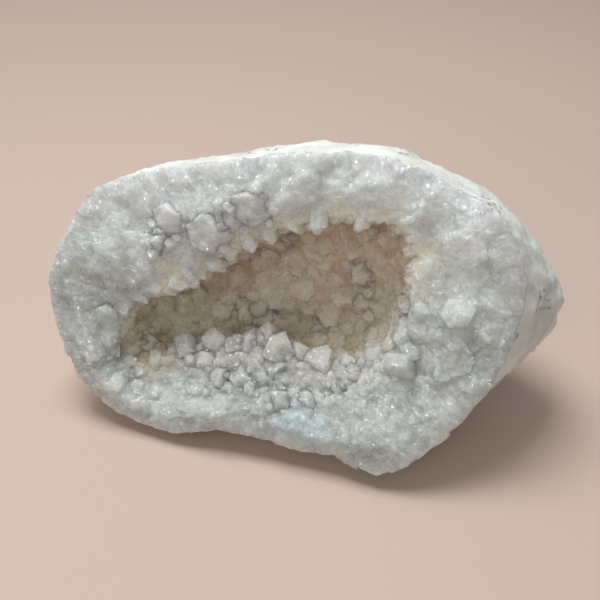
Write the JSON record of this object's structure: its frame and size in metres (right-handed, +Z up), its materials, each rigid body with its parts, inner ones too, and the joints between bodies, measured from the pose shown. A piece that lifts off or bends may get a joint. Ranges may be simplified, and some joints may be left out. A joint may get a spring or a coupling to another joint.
{
  "type": "quartz geode",
  "caption": "Broken-open quartz geode: a chalky rounded stone resting on a small flat spot, with a thick wall of milky quartz round a crystal-lined hollow.",
  "frame": {"origin": "centre of the small flat spot underneath that the stone rests on", "axes": "+Z up; the broken face looks along -Y, leaning back 20 degrees; +X runs to the right along the stone's length as seen from in front of the broken face"},
  "size_m": [0.1235, 0.0648, 0.0753],
  "materials": {
    "rind": "matt, chalky and greenish white, with brown-green soil in its pits",
    "milky_quartz": "granular broken quartz, cloudy and grey-white with a faint green cast, sparkling on its small faces",
    "quartz_crystal": "translucent quartz with smooth glassy faces, yellow-green at the mouth of the hollow and warm brown deep inside"
  },
  "bodies": {
    "root": {"rind": "rind", "quartz_wall": "milky_quartz", "roof_crystal_1": "quartz_crystal", "roof_crystal_2": "quartz_crystal", "roof_crystal_3": "quartz_crystal", "roof_crystal_4": "quartz_crystal", "roof_crystal_5": "quartz_crystal", "roof_crystal_6": "quartz_crystal", "roof_crystal_7": "quartz_crystal", "roof_crystal_8": "quartz_crystal", "roof_crystal_9": "quartz_crystal", "roof_crystal_10": "quartz_crystal", "roof_crystal_11": "quartz_crystal", "roof_crystal_12": "quartz_crystal", "side_crystal_1": "quartz_crystal", "side_crystal_2": "quartz_crystal", "side_crystal_3": "quartz_crystal", "side_crystal_4": "quartz_crystal", "floor_crystal_1": "quartz_crystal", "floor_crystal_2": "quartz_crystal", "floor_crystal_3": "quartz_crystal", "floor_crystal_4": "quartz_crystal", "floor_crystal_5": "quartz_crystal", "floor_crystal_6": "quartz_crystal", "floor_crystal_7": "quartz_crystal", "floor_crystal_8": "quartz_crystal", "floor_crystal_9": "quartz_crystal", "front_crystal_1": "quartz_crystal", "front_crystal_2": "quartz_crystal", "front_crystal_3": "quartz_crystal", "front_crystal_4": "quartz_crystal", "front_crystal_5": "quartz_crystal", "front_crystal_6": "quartz_crystal", "front_crystal_7": "quartz_crystal", "front_crystal_8": "quartz_crystal", "back_crystal_1": "quartz_crystal", "back_crystal_2": "quartz_crystal", "back_crystal_3": "quartz_crystal", "back_crystal_4": "quartz_crystal", "back_crystal_5": "quartz_crystal", "back_crystal_6": "quartz_crystal", "back_crystal_7": "quartz_crystal", "back_crystal_8": "quartz_crystal", "back_crystal_9": "quartz_crystal", "back_crystal_10": "quartz_crystal", "face_crystal_1": "quartz_crystal", "face_crystal_2": "quartz_crystal", "face_crystal_3": "quartz_crystal", "face_crystal_4": "quartz_crystal", "face_crystal_5": "quartz_crystal"}
  },
  "joints": []
}
